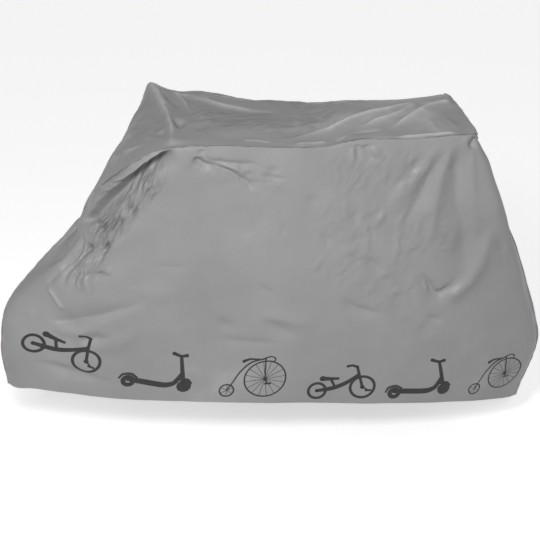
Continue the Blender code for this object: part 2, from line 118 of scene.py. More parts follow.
# -------------------- folds and creases
# All sizes in these tables are millimetres.
# A crease runs through its points, (along, level), and rises outwards or sinks by rise. It fades over
# its half widths to the left and right of the way it runs, more crisply the lower its crest power, and
# towards its two ends over the shares start_fade and end_fade of its length. Its crest leans over to
# its left by lean. By the share pale its crest is painted paler: partly the whitening of thin sheeting
# where it is folded sharply, partly a painted highlight along the crest.
Crease = namedtuple(
    "Crease", "points rise left right crest start_fade end_fade lean pale", defaults=(2.0, 0.4, 0.4, 0.0, 0.0)
)
LEFT_CREASES = [
    # the flap's lip, and a second, smaller fold beside the cloth sunk under it
    Crease(
        [(-366, 1086), (-428, 1052), (-465, 1022), (-516, 960), (-557, 906), (-596, 848), (-612, 820)],
        10, 6, 18, 1.4, .2, .12, lean=11,
    ),
    Crease([(-393, 1043), (-418, 1016), (-445, 985)], 6, 6, 6, 1.4, .4, .5, pale=.6),
    Crease([(-371, 1060), (-401, 1024), (-434, 984)], -6, 5, 6, 1.4, .15, .6),
    # the strip between the seam and the lip bulges
    Crease([(-460, 1030), (-500, 1000), (-545, 940), (-580, 885), (-604, 836)], 9, 18, 18, 1.8, .3, .25),
    # the edge of the crumpled part under the flap
    Crease(
        [
            (-372, 1050), (-416, 983), (-439, 943), (-449, 895),
            (-464, 843), (-493, 795), (-537, 760), (-577, 686),
        ],
        6, 40, 7, 1.4, .2, .3,
    ),
    Crease([(-556, 816), (-578, 794), (-600, 772)], -6, 6, 10, 1.3),
    Crease([(-500, 850), (-522, 815), (-530, 780)], -5, 6, 10, 1.3),
    # draped over the front wheel
    Crease([(-630, 784), (-672, 711), (-718, 652), (-773, 599)], -11, 8, 14, 1.4, .15, .5),
    Crease([(-624, 778), (-631, 739), (-648, 697), (-681, 654), (-698, 608)], -10, 6, 12, 1.3, .2, .4),
    Crease([(-612, 760), (-622, 725), (-640, 690), (-668, 655)], 8, 6, 7, 1.3, .3, .4, pale=.6),
    Crease([(-570, 750), (-615, 722), (-640, 688), (-665, 647), (-683, 583)], -20, 10, 24, 1.5, .25, .5),
    Crease([(-689, 641), (-712, 612), (-730, 594)], -7, 7, 12, 1.3, .3, .3),
    Crease([(-729, 588), (-705, 553), (-681, 512)], 7, 7, 7, 1.2, .2, .3, pale=.6),
    Crease([(-537, 776), (-557, 731), (-579, 680)], -15, 7, 14, 1.3, .3, .4),
    Crease([(-548, 664), (-594, 650), (-650, 636)], -8, 7, 14, 1.3, .15, .5),
    Crease([(-552, 690), (-545, 672), (-550, 655)], 5, 6, 6, 1.3),
    Crease([(-735, 478), (-659, 482), (-617, 497), (-538, 522), (-420, 577)], -13, 32, 14, 1.6, .2, .6),
    Crease([(-745, 452), (-650, 448), (-560, 465)], 8, 20, 24, 1.8, .4, .5),
    Crease([(-645, 419), (-579, 426), (-530, 444)], -9, 22, 14, 1.6, .3, .5),
    Crease([(-640, 400), (-540, 410), (-430, 480)], 5, 30, 30, 2, .5, .5),
    Crease([(-800, 330), (-660, 300), (-520, 262)], -8, 16, 28, 1.8, .4, .5),
    # swings back from the grip
    Crease([(-296, 1055), (-280, 1034), (-219, 1010), (-168, 984), (-126, 940)], -13, 10, 16, 1.5, .1, .5),
    Crease([(-290, 1040), (-220, 995), (-160, 960)], 7.5, 14, 24, 1.6, .4, .6),
    Crease([(-262, 1046), (-200, 1026), (-130, 1022), (-80, 1004)], -7, 9, 12, 1.4, .3, .5),
    Crease([(-240, 1030), (-180, 1008), (-130, 990)], 6, 7, 8, 1.3, .3, .5, pale=.2),
    Crease([(-168, 984), (-140, 962), (-124, 930)], -8, 12, 8, 1.4, .3, .4),
    Crease([(-110, 990), (-60, 975), (-12, 978)], -5, 8, 10, 1.4, .4, .5),
    Crease([(-74, 955), (-45, 935), (-5, 910)], -4, 12, 14, 1.6, .5, .5),
    Crease([(-75, 975), (-62, 1000), (-48, 1020)], -4, 12, 12, 1.6, .5, .5),
    Crease([(25, 916), (50, 902), (82, 884)], -3.2, 12, 12, 1.6, .5, .5),
    Crease([(-272, 1075), (-272, 1050)], -4.8, 6, 10, 1.4, .2, .6),
    Crease([(184, 1075), (187, 1050), (190, 1018)], -6.4, 7, 10, 1.3, .1, .6),
    Crease([(206, 1075), (219, 1039), (256, 1018)], -6.4, 8, 12, 1.4, .1, .6),
    Crease([(170, 1070), (168, 1030), (172, 985)], 4.8, 8, 8, 1.3, .2, .6),
    Crease([(228, 1070), (240, 1045), (276, 1030)], 4.8, 10, 10, 1.4, .2, .6),
    # small marks over the middle
    Crease([(-34, 830), (-26, 808), (-36, 786)], -3, 5, 7, 1.3, .3, .3),
    Crease([(-96, 624), (-41, 590)], -2.5, 8, 12, 1.4),
    Crease([(75, 659), (86, 696), (104, 726)], 3, 7, 10, 1.4),
    Crease([(233, 810), (246, 792), (256, 772)], -4.5, 6, 7, 1.3, .3, .3),
    Crease([(329, 760), (335, 735), (352, 715)], 4.5, 6, 8, 1.3, .3, .3),
    Crease([(225, 715), (260, 680), (285, 645)], -7, 14, 18, 1.6),
    Crease([(165, 575), (225, 530), (320, 508)], -8, 14, 20, 1.5, .3, .5),
    Crease([(440, 500), (470, 482), (510, 472)], -6, 12, 16, 1.5),
    # slants down from the rear rack
    Crease([(440, 1070), (420, 1040), (377, 978), (314, 898), (265, 840)], 7, 26, 26, 2, .3, .4),
    Crease([(400, 1050), (350, 985), (290, 930)], -7, 18, 18, 2, .4, .5),
    Crease([(452, 1060), (428, 1003), (371, 868), (324, 786)], -10, 22, 22, 1.8, .2, .4),
    Crease([(480, 1070), (462, 1029), (442, 920), (434, 838), (434, 722)], 9, 18, 30, 1.6, .2, .4),
    Crease([(492, 1070), (497, 980), (512, 870), (547, 772), (553, 640)], -14, 22, 36, 1.8, .2, .25),
    Crease([(536, 1050), (545, 970), (556, 913), (578, 837)], 5, 7, 10, 1.4, .2, .5),
    Crease([(505, 1086), (522, 1046)], 5, 12, 4, 1.4, .1, .3),
    Crease([(548, 1082), (524, 1046)], -14, 13, 13, 1.6, .1, .3),
    Crease([(210, 880), (190, 835), (205, 790)], -4.8, 14, 14, 1.6, .5, .5),
    Crease([(290, 870), (262, 835), (252, 795)], 6.4, 14, 14, 1.6, .5, .5),
    # the rear edge hangs straight
    Crease([(575, 1080), (620, 940), (660, 810), (705, 650)], 13, 55, 45, 2, .2, .45),
    # curls under the rear corner
    Crease([(628, 800), (614, 707), (577, 619), (529, 571), (480, 549)], 19, 30, 19, 1.6, .3, .2),
    Crease([(420, 660), (439, 612), (476, 566), (515, 590), (545, 640)], -15, 12, 20, 1.6, .3, .4),
    Crease([(424, 640), (437, 575)], 6, 5, 5, 1.3, .3, .3, pale=.4),
    Crease([(455, 730), (480, 722), (500, 728)], 4, 6, 6, 1.3),
    Crease([(658, 742), (675, 712), (694, 680)], -6, 7, 9, 1.3, .3, .4),
    Crease([(640, 730), (657, 670), (683, 608)], 6, 7, 7, 1.3, .3, .4, pale=.3),
    Crease([(420, 480), (450, 440), (480, 420)], -4.8, 18, 20, 1.8, .5, .5),
    # soft waves over the lower half
    Crease([(-231, 512), (-190, 490), (-145, 462)], -4.8, 20, 22, 1.8, .5, .5),
    Crease([(-90, 505), (-20, 470), (55, 435)], -6.4, 22, 26, 1.8, .5, .5),
    Crease([(-250, 442), (-130, 425), (0, 415)], -4.8, 16, 22, 1.6, .5, .5),
    Crease([(-110, 540), (-20, 505), (90, 480)], 4.8, 24, 22, 1.8, .5, .5),
    Crease([(80, 800), (110, 770), (100, 735)], -4, 10, 12, 1.5, .5, .5),
    Crease([(150, 760), (180, 735), (210, 745)], 4.8, 14, 14, 1.6, .5, .5),
    Crease([(-500, 620), (-400, 600), (-300, 610)], 3.2, 30, 30, 2, .5, .5),
    Crease([(-420, 700), (-350, 690), (-290, 700)], -2.4, 12, 14, 1.6, .5, .5),
]
# Under the flap's overhang the cloth steps in below the line over, most of all right under it, and lies
# further in up to the line beside.
Hollow = namedtuple("Hollow", "over beside groove sink edge width side_edge")
LEFT_HOLLOW = Hollow(
    [(-362, 1081), (-424, 1048), (-461, 1018), (-512, 956), (-553, 902), (-592, 844), (-611, 818)],
    [(-360, 1065), (-416, 983), (-449, 895), (-480, 822), (-537, 760), (-580, 680), (-640, 600)],
    -38, -10, 7, 34, 60,
)
RIGHT_HOLLOW = Hollow(
    [(-370, 1100), (-449, 1010), (-640, 778)],
    [(-370, 1085), (-430, 920), (-545, 720), (-630, 590)],
    -12, -14, 14, 30, 80,
)
RIGHT_CREASES = [
    Crease([(-370, 1085), (-470, 960), (-610, 790)], -14, 85, 20, 2, .12, .15),
    Crease([(-600, 770), (-640, 680), (-700, 560)], 8, 24, 20, 1.6, .3, .4),
    Crease([(-560, 800), (-600, 700), (-640, 620)], -6, 18, 22, 1.6, .3, .4),
    Crease([(-760, 480), (-660, 470), (-560, 500)], 4, 26, 20, 1.8, .4, .5),
    Crease([(-270, 1060), (-190, 950), (-60, 850)], -6, 20, 24, 1.8, .2, .5),
    Crease([(-230, 1060), (-130, 970), (10, 920)], 3, 20, 24, 1.8, .3, .5),
    Crease([(430, 1070), (340, 940), (240, 840)], 7, 22, 24, 1.8, .2, .5),
    Crease([(480, 1060), (440, 960), (400, 840)], -5, 18, 20, 1.8, .2, .5),
    Crease([(590, 1000), (620, 840), (560, 660)], 10, 26, 20, 1.8, .3, .3),
    Crease([(570, 900), (590, 800), (540, 700)], -6, 20, 24, 1.8),
    Crease([(50, 560), (160, 510), (300, 480)], 5, 30, 26, 1.8),
    Crease([(-300, 520), (-180, 480), (-50, 470)], -4, 24, 24, 1.8, .5, .5),
    Crease([(180, 1060), (185, 1020), (175, 980)], -3, 8, 10, 1.4, .2, .6),
    Crease([(-20, 1055), (-10, 1010), (-30, 970)], -3, 8, 12, 1.4, .2, .6),
]
# on the top panel the level is a place across, above zero on the right
TOP_CREASES = [
    # over the handlebar
    Crease(
        [(-394, 325), (-376, 161), (-365, 33), (-356, -82), (-353, -156), (-360, -300)],
        12, 40, 14, 1.5, .03, .06,
    ),
    Crease(
        [(-392, 325), (-374, 161), (-363, 33), (-354, -82), (-351, -156), (-359, -296)],
        7, 7, 7, 1.4, .1, .25, pale=.9,
    ),
    Crease([(-400, 240), (-384, 120), (-378, 9), (-374, -130), (-378, -250)], -7, 10, 18, 1.8, .2, .2),
    # fans out from the far grip
    Crease([(-374, 285), (-343, 218), (-301, 77), (-286, -30)], 7, 10, 9, 1.4, .2, .4),
    Crease([(-360, 270), (-328, 222), (-299, 89), (-283, -43)], 6, 5, 5, 1.2, .2, .4, pale=.9),
    Crease([(-372, 262), (-342, 147), (-314, 4)], -10, 8, 8, 1.3, .2, .4),
    Crease([(-362, 262), (-312, 182), (-246, 88), (-171, 32), (-80, 2), (30, 14)], 7, 20, 12, 1.5, .2, .4),
    Crease(
        [(-350, 235), (-312, 182), (-246, 88), (-171, 32), (-80, 2), (30, 14)],
        5, 5, 5, 1.2, .2, .4, pale=.7,
    ),
    Crease([(-335, 262), (-285, 170), (-235, 110)], -6, 10, 10, 1.5, .2, .5),
    Crease([(-330, 250), (-230, 170), (-90, 130)], -5.5, 20, 24, 1.8, .3, .5),
    Crease([(-300, 285), (-200, 240), (-60, 210)], 6.4, 20, 24, 1.8, .3, .5),
    Crease([(-365, 39), (-345, 60), (-321, 89)], -5, 4, 4, 1.3, .2, .3),
    Crease([(-335, -60), (-329, -117), (-334, -180)], -9, 14, 14, 1.8),
    Crease([(-305, -80), (-334, -150)], -5, 10, 12, 1.6),
    Crease([(-240, -110), (-284, -196)], -5, 16, 14, 1.6),
    # the nearer half turns down from here
    Crease([(-241, -236), (-154, -184), (-57, -125), (42, -66), (139, -33)], 9, 60, 40, 1.8, .3, .3),
    # drawn from the far rear corner towards the near seam
    Crease([(520, -20), (300, -60), (80, -100)], 10, 130, 120, 2, .3, .4),
    Crease([(535, 4), (449, -45), (402, -94), (338, -160), (273, -220)], 9, 20, 28, 1.5, .1, .3),
    Crease([(535, 4), (449, -45), (402, -94), (338, -160), (285, -210)], 7, 5, 6, 1.2, .1, .3, pale=1),
    Crease([(430, 0), (365, -70), (319, -114), (254, -159), (192, -195)], 7, 15, 11, 1.4, .2, .3),
    Crease([(425, -5), (365, -70), (319, -114), (254, -159), (200, -190)], 5, 5, 5, 1.2, .1, .3, pale=.8),
    Crease([(430, 6), (324, -61), (197, -130), (83, -188), (-60, -236)], 10, 26, 12, 1.4, .2, .3),
    Crease([(430, 6), (324, -61), (197, -130), (83, -188), (-20, -225)], 7, 5, 6, 1.2, .1, .3, pale=1),
    Crease([(340, -30), (215, -96), (100, -152), (10, -200)], -12, 10, 12, 1.4, .2, .4),
    Crease([(400, -26), (330, -88), (260, -132)], -8, 8, 8, 1.3, .3, .3),
    Crease([(440, -26), (380, -90), (310, -150)], -9, 9, 9, 1.3, .2, .4),
    Crease([(245, -45), (148, -85), (60, -130), (-60, -165)], 11, 30, 18, 1.6, .3, .4),
    Crease([(200, 60), (80, 30), (-60, -30)], -8, 24, 24, 1.8, .4, .5),
    Crease([(150, 200), (20, 150), (-120, 120)], 6.4, 28, 28, 2, .4, .5),
    # painted light: the rear of the top painted paler, as if lit more, with almost no fold of its own
    Crease([(140, -205), (320, -150), (480, -110)], 2, 90, 100, 2, .3, .2, pale=.3),
    Crease([(270, -218), (215, -222), (160, -236)], -5, 7, 8, 1.4, .3, .4),
    # along the near seam
    Crease([(-160, -251), (-110, -246), (-58, -255)], 4, 5, 5, 1.3, .3, .3, pale=.6),
    Crease([(-16, -265), (44, -254), (104, -245)], 6, 7, 9, 1.3, .3, .2, pale=.8),
    Crease([(112, -256), (141, -240), (158, -233)], -6, 6, 6, 1.3, .3, .3),
    Crease(
        [(283, -256), (320, -252), (363, -246), (398, -241), (449, -238), (506, -234)],
        5, 6, 6, 1.3, .2, .2, pale=.8,
    ),
    Crease([(470, -110), (485, -170), (490, -230)], 3.2, 12, 14, 1.6),
    Crease([(430, -130), (425, -180), (440, -235)], 4.8, 10, 12, 1.4),
    # down the flap over the front
    Crease(
        [(-520, 20), (-513, -56), (-502, -103), (-485, -149), (-465, -181), (-442, -195), (-418, -192)],
        5, 5, 7, 1.3, .2, .3, pale=.6,
    ),
    Crease([(-560, 90), (-500, 20), (-440, -80)], 6.4, 14, 18, 1.6, .3, .4),
    Crease([(-540, 140), (-470, 120), (-400, 130)], -6.4, 14, 14, 1.6, .3, .3),
    Crease([(-590, -20), (-540, -80), (-470, -160)], -8, 20, 18, 1.6, .3, .4),
    Crease([(-560, -60), (-500, -140), (-420, -210)], 6.4, 16, 18, 1.6, .3, .4),
    Crease([(-420, 250), (-460, 170), (-480, 60)], 6.4, 14, 16, 1.6, .3, .4),
]

# Crumpled parts. The crumples fill a band round a line, as a crease does, and are drawn out along the
# way given by slant, in degrees from along the bicycle. The share fine says how finely the sheeting is
# crinkled there as well, and so how much shade is painted into the crinkles and how pale their sharp
# crests are painted, partly as a painted highlight.
Crumple = namedtuple("Crumple", "points left right rise long short slant seed fine")
LEFT_CRUMPLES = [
    Crumple([(-400, 1005), (-460, 930), (-530, 840), (-590, 760)], 46, 40, 12.5, 85, 13, 66, 3, 1.5),
    Crumple([(-400, 1070), (-480, 1010), (-590, 880)], 16, 24, 6.5, 50, 11, 20, 5, .55),
    Crumple([(-560, 760), (-600, 690), (-640, 600)], 46, 50, 10.5, 90, 24, 64, 9, .6),
    Crumple([(-300, 1040), (-200, 1000), (-60, 970)], 34, 34, 3.6, 55, 18, -22, 19, .35),
    Crumple([(100, 1020), (250, 980), (450, 1000)], 75, 70, 3.4, 90, 26, 70, 12, .22),
    Crumple([(120, 880), (330, 790), (560, 780)], 90, 100, 5.2, 120, 40, 68, 14, .2),
    Crumple([(100, 700), (260, 640), (420, 560)], 80, 90, 4.4, 110, 45, 58, 17, .18),
]
RIGHT_CRUMPLES = [
    Crumple([(-410, 1020), (-500, 900), (-600, 730)], 90, 60, 4.5, 130, 34, 60, 23, 1),
    Crumple([(100, 1000), (300, 940), (520, 960)], 90, 90, 3.4, 110, 40, 70, 25, .4),
    Crumple([(120, 760), (330, 700), (560, 720)], 120, 120, 3.6, 130, 55, 60, 28, .3),
]
TOP_CRUMPLES = [
    Crumple([(-520, 120), (-470, -50), (-400, -200)], 90, 90, 4.5, 140, 45, 110, 33, .4),
    Crumple([(-280, -50), (-50, -100), (180, -80)], 70, 90, 3.4, 90, 26, 25, 37, .6),
    Crumple([(-250, 160), (0, 150), (300, 140)], 90, 80, 3.4, 120, 44, 20, 41, .4),
]

# In metres: creases and crumples stray from their places in waves so long and so high, a crumple's own
# waves drift and jitter over these lengths, and it comes and goes over these, along and up.
STRAY = ((0.055, 0.0036), (0.018, 0.0010))
STRAY_SEEDS = (201, 211)
CRUMPLE_DRIFT, CRUMPLE_JITTER = 0.07, 0.03
CRUMPLE_PATCH = (0.045, 0.06)

# The soft waves over every panel: how long they are along it and up it, and how high, in metres. The broad
# ones shift the small ones.
BROAD_WAVES, SMALL_WAVES = (0.19, 0.30, 0.0030), (0.07, 0.11, 0.0013)
WAVE_SHIFT = 60

# The sheeting's tones, from a darker grey, also painted into crinkles as shade, to the pale grey of sharp
# folds, partly whitened sheeting and partly painted highlight, and how its crinkles are turned and drawn out
# on each panel
DARKER_AND_SHADED_GREY, LIGHT_GREY, PALE_AND_HIGHLIT_CREST_GREY = (.205, .205, .207), (.268, .268, .270), (.420, .420, .423)
DARK_INK, LIGHT_INK = (.020, .020, .022), (.030, .030, .032)
SIDE_CRINKLES = (0, math.radians(-66), 0), (0.090, 0.090, 0.0085)
TOP_CRINKLES = (0, 0, math.radians(25)), (0.100, 0.012, 0.100)


def table(rows, *columns):
    return np.array([[getattr(row, column) for column in columns] for row in rows])


def unit(vectors):
    return vectors / np.maximum(np.linalg.norm(vectors, axis=-1, keepdims=True), 1e-9)


def divided(*spans):
    """Numbers over spans that follow on from each other, each (start, end, cells), even within each."""
    evens = [np.linspace(start, end, cells + 1)[:-1] for start, end, cells in spans]
    return np.concatenate([*evens, [spans[-1][1]]])


def metres(millimetres):
    return millimetres / 1000


def steps_along(points):
    return np.linalg.norm(np.diff(points, axis=0), axis=1)


def run_along(points):
    """How far along a line of points each of them is."""
    return np.concatenate([[0], np.cumsum(steps_along(points))])


def spline(knots, values, at):
    """A smooth curve through values at knots, read at each number in at, that never swings past them."""
    gaps = np.diff(knots)[:, None]
    slopes = np.diff(values, axis=0) / gaps
    same_way = slopes[:-1] * slopes[1:] > 0
    ahead, behind = np.where(same_way, slopes[1:], 1), np.where(same_way, slopes[:-1], 1)
    longer, shorter = 2 * gaps[1:] + gaps[:-1], gaps[1:] + 2 * gaps[:-1]
    inner = np.where(same_way, (longer + shorter) / (longer / behind + shorter / ahead), 0)
    tangents = np.concatenate([slopes[:1], inner, slopes[-1:]])
    i = np.clip(np.searchsorted(knots, at, side="right") - 1, 0, len(gaps) - 1)
    t = ((at - knots[i]) / gaps[i, 0])[:, None]
    return (
        (2 * t**3 - 3 * t**2 + 1) * values[i]
        + (t**3 - 2 * t**2 + t) * gaps[i] * tangents[i]
        + (3 * t**2 - 2 * t**3) * values[i + 1]
        + (t**3 - t**2) * gaps[i] * tangents[i + 1]
    )


def normals_of(points, side=RIGHT):
    """The outward unit normal at each point of the top panel's grid, or of a side panel's."""
    return side * unit(np.cross(np.gradient(points, axis=0), np.gradient(points, axis=1)))


def evened(points, rounds):
    """A grid evened out between neighbouring points, with its edges held."""
    result = points.copy()
    for _ in range(rounds):
        result[1:-1] = (result[:-2] + 2 * result[1:-1] + result[2:]) / 4
        result[:, 1:-1] = (result[:, :-2] + 2 * result[:, 1:-1] + result[:, 2:]) / 4
    return result


def softened(points):
    """A grid evened out without losing its larger bends."""
    return evened(2 * points - evened(points, SMOOTHING), SMOOTHING)


NAMES = [station.name for station in STATIONS]
GRIP, CORNER = NAMES.index("grip"), NAMES.index("corner")
SEAMS = {
    LEFT: table(STATIONS, "left_along", "left_out", "left_height") * (1, LEFT, 1),
    RIGHT: table(STATIONS, "right_along", "right_out", "right_height") * (1, RIGHT, 1),
}
KNOTS = run_along(SEAMS[LEFT])
PLACES = divided(
    (0, KNOTS[GRIP], CELLS_FLAP),
    (KNOTS[GRIP], KNOTS[CORNER], CELLS_TOP),
    (KNOTS[CORNER], KNOTS[-1], CELLS_REAR),
)
ACROSS = divided((-1, 0, CELLS_REAR), (0, 1, CELLS_REAR))
DOWN = np.linspace(0, 1, CELLS_DOWN + 1) ** SEAM_CROWDING
CELLS_LONG = CELLS_FLAP + CELLS_TOP


# -------------------- unevenness
def noise(x, y, seed):
    """Smooth unevenness over a plane, from about -1 to 1, with one wave to each unit."""
    left, low = np.floor(x), np.floor(y)

    def pull(column, row):
        """The share of a corner of the point's cell, each corner with a chance slope of its own."""
        number = np.sin(column * 127.1 + row * 311.7 + seed * 74.7) * 43758.5453
        angle = (number - np.floor(number)) * 2 * np.pi
        return np.cos(angle) * (x - column) + np.sin(angle) * (y - row)

    def ease(t):
        return t**3 * (t * (t * 6 - 15) + 10)

    across, up = ease(x - left), ease(y - low)
    lower = pull(left, low) * (1 - across) + pull(left + 1, low) * across
    upper = pull(left, low + 1) * (1 - across) + pull(left + 1, low + 1) * across
    return (lower * (1 - up) + upper * up) * 1.4  # which brings it up to about 1


def ripple(x, y, ripples, seed):
    """The sum of uneven ripples, each about so long and so high."""
    return sum(noise(x / long, y / long, seed + i) * high for i, (long, high) in enumerate(ripples))


def smooth_line(points, pieces=6):
    """A line in metres with more points that curves through the points given in millimetres."""
    points = metres(np.array(points, float))
    if len(points) == 2:
        return points
    steps = run_along(points)
    return spline(steps, points, divided(*[(a, b, pieces) for a, b in zip(steps, steps[1:])]))


def from_line(line, along, level):
    """How far along a line each point is, from 0 to 1, and how far to its left."""
    lengths, starts = steps_along(line), run_along(line)
    nearest = np.full(along.shape, 1e9)
    run, aside = np.zeros(along.shape), np.full(along.shape, 1e9)
    last = len(lengths) - 1
    for i, (a, b) in enumerate(zip(line, line[1:])):
        way = (b - a) / lengths[i]
        ahead = (along - a[0]) * way[0] + (level - a[1]) * way[1]
        left = (level - a[1]) * way[0] - (along - a[0]) * way[1]
        over = np.maximum(-ahead if i else 0, 0) + np.maximum(ahead - lengths[i] if i < last else 0, 0)
        away = np.hypot(over, left)
        closer = away < nearest
        nearest = np.where(closer, away, nearest)
        run = np.where(closer, (starts[i] + ahead) / starts[-1], run)
        aside = np.where(closer, np.where(left < 0, -away, away), aside)
    return run, aside


def ease_in(t):
    """From 0 to 1, with a soft start and a soft end."""
    t = np.clip(t, 0, 1)
    return t * t * (3 - 2 * t)


def folded(crease, along, level):
    """How strongly a crease takes hold of each point, from 0 to 1, and the way that it runs."""
    line = smooth_line(crease.points)
    run, aside = from_line(line, along, level)
    fading = ease_in(run / crease.start_fade) * ease_in((1 - run) / crease.end_fade)
    width = metres(np.where(aside > 0, crease.left, crease.right))
    width *= 0.55 + 0.45 * fading  # it narrows as it fades
    return fading * np.exp(-np.abs(aside / width) ** crease.crest), unit(line[-1] - line[0])


def crumpled(crumple, along, level):
    """How far a crumpled part raises each point, crinkles it (a bump and painted shade) and makes its sharp
    crests pale (partly a painted highlight).
    """
    run, aside = from_line(smooth_line(crumple.points), along, level)
    width = metres(np.where(aside > 0, crumple.left, crumple.right))
    # a band round the line, which fades out round each of its ends
    mask = ease_in((run + 0.15) / 0.3) * ease_in((1.15 - run) / 0.3) * np.exp(-((aside / width) ** 4))
    slant, long, short = math.radians(crumple.slant), metres(crumple.long), metres(crumple.short)
    drift = noise(along / CRUMPLE_DRIFT, level / CRUMPLE_DRIFT, crumple.seed + 0.5)
    jitter = noise(along / CRUMPLE_JITTER, level / CRUMPLE_JITTER, crumple.seed + 2)
    down = along * math.cos(slant) + level * math.sin(slant) + drift * long * 0.3
    over = level * math.cos(slant) - along * math.sin(slant)
    over += drift * short * 0.6 + jitter * short * 0.25
    # broad waves, waves half as long, and sharp crests
    wide = noise(down / long, over / short, crumple.seed)
    fine = noise(down / long * 2.1, over / short * 2.1, crumple.seed + 1)
    sharp = 0.45 - np.abs(noise(down / long * 1.3, over / short * 0.8, crumple.seed + 3))
    patchy = 0.55 + 0.75 * noise(along / CRUMPLE_PATCH[0], level / CRUMPLE_PATCH[1], crumple.seed + 4)
    rise = metres(crumple.rise) * mask * np.clip(patchy, 0, 1.3) * (0.8 * wide + 0.45 * fine + 1.1 * sharp)
    # crinkled sets the crinkles' bump and the shade painted into them; the last share paints sharp crests
    # paler, partly whitening, partly a painted highlight
    crinkled = crumple.fine * mask * np.clip(patchy + 0.4, 0, 1.2)
    return rise, crinkled, 0.8 * min(crumple.fine, 1) * mask * ease_in((sharp - 0.26) / 0.16)


def creased(along, level, creases, crumples):
    """How far creases and crumples raise each point, move it along and up, crinkle it (a bump and painted
    shade) and make it pale (partly a painted highlight).
    """
    rise, lean_along, lean_up, crinkled, pale = (np.zeros(along.shape) for _ in range(5))
    stray_along, stray_up = (ripple(along, level, STRAY, seed) for seed in STRAY_SEEDS)
    along, level = along + stray_along, level + stray_up
    for crease in creases:
        hold, way = folded(crease, along, level)
        rise += metres(crease.rise) * hold
        pale += crease.pale * hold
        lean_along -= metres(crease.lean) * hold * way[1]
        lean_up += metres(crease.lean) * hold * way[0]
    for crumple in crumples:
        more_rise, more_crinkled, more_pale = crumpled(crumple, along, level)
        rise += more_rise
        crinkled += more_crinkled
        pale += more_pale
    return rise, lean_along, lean_up, crinkled, pale


def hollowed(base, hollow):
    """How far a hollow takes each point of a side panel in."""
    along, level = base[:, :, 0], base[:, :, 2]
    reach, below = from_line(smooth_line(hollow.over), along, level)
    run, behind = from_line(smooth_line(hollow.beside), along, level)
    from_front = np.linalg.norm(base - base[:1], axis=2)
    # the step down from the overhang is wider, and the groove right under it deeper, near the grip
    edge = metres(hollow.edge) * (1 + 2.2 * ease_in((0.65 - reach) / 0.5))
    step = (1 - (1 - np.clip(below / edge, 0, 1)) ** 2) * ease_in((reach + 0.04) / 0.2)
    right_under = np.exp(-((np.maximum(below - edge, 0) / metres(hollow.width)) ** 2))
    right_under *= ease_in((1.06 - reach) / 0.08) * ease_in(from_front / GROOVE_HOLD)
    groove = metres(hollow.groove) * (1.2 - 0.75 * reach) * right_under
    inside = ease_in(0.35 - behind / metres(hollow.side_edge)) * ease_in((1 - run) / 0.45)
    return step * (groove + metres(hollow.sink) * (inside * ease_in(from_front / HOLLOW_HOLD)))


def wandering(along, level, seed):
    long, tall, high = BROAD_WAVES
    broad = noise(along / long, level / tall, seed) * high
    long, tall, high = SMALL_WAVES
    return broad + noise(along / long + broad * WAVE_SHIFT, level / tall, seed + 1) * high


# -------------------- the panels' surfaces
def hanging_seam(side):
    """The top panel's seam on one side, from the front to the rear corner."""
    line = spline(KNOTS[: CORNER + 1], SEAMS[side][: CORNER + 1], PLACES[: CELLS_LONG + 1])
    for swell in SWELLS[side]:
        line[:, 2] += swell.rise * np.exp(-(((line[:, 0] - swell.along) / swell.reach) ** 2))
    return line[:, None]


def top_base():
    left, right = hanging_seam(LEFT), hanging_seam(RIGHT)
    crowns = spline(KNOTS[: CORNER + 1], table(CROWNS, "along", "up", "crown_at"), PLACES[: CELLS_LONG + 1])
    crest = crowns[:, 2:]
    reach = np.where(ACROSS < crest, 1 + crest, 1 - crest)
    arch = 1 - np.abs((ACROSS - crest) / reach) ** CROWN_POWER
    flat = left + (right - left) * ((ACROSS + 1) / 2)[None, :, None]
    return softened(flat + arch[:, :, None] * np.insert(crowns[:, None, :2], 1, 0, axis=2))


def rim(grid, side):
    """The top panel's edge on one side, from the front round to the middle of the rear."""
    from_edge = grid if side == LEFT else grid[:, ::-1]
    return np.concatenate([from_edge[:, 0], from_edge[-1, 1 : CELLS_REAR + 1]])


def side_base(side, top):
    seam = rim(top, side)
    hem = spline(KNOTS, table(STATIONS, "hem_along", "hem_out", "hem_height"), PLACES) * (1, side, 1)
    bows = spline(KNOTS, table(STATIONS, "bow_high", "bow_mid", "bow_low", "belly"), PLACES)
    ends = np.zeros((len(PLACES), 1))
    quarters = np.concatenate([ends, bows[:, :3], ends], axis=1).T
    flat = seam[:, None] + (hem - seam)[:, None] * DOWN[None, :, None]
    flat[:, :, 0] += spline(np.linspace(0, 1, 5), quarters, DOWN).T
    flat[:, :, 1] += side * bows[:, 3:] * 4 * DOWN * (1 - DOWN)
    return softened(flat)


def seam_fins(top, left, right):
    """The way the allowances stand out at each point of each piece's seams."""
    over = normals_of(top)
    beside = {LEFT: normals_of(left, LEFT), RIGHT: normals_of(right, RIGHT)}
    front, rear = (unit(beside[LEFT][end] + beside[RIGHT][end]) for end in (0, -1))
    front[0] = unit(front[1] + beside[LEFT][1, 0] + beside[RIGHT][1, 0] + over[1, CELLS_REAR])
    fins = {}
    for side in beside:
        along = unit(rim(over, side)[1:] + beside[side][1:, 0])
        along[-1] = unit(over[-1, CELLS_REAR] + rear[0])
        ways = np.concatenate([front[::-1], along, rear[1:]])
        fins[side] = unit(evened(ways[:, None], FIN_SMOOTHING)[:, 0])
    upper = {side: fins[side][CELLS_DOWN:-CELLS_DOWN] for side in fins}
    fins["top"] = np.concatenate([upper[LEFT], upper[RIGHT][-2:0:-1]])
    return fins


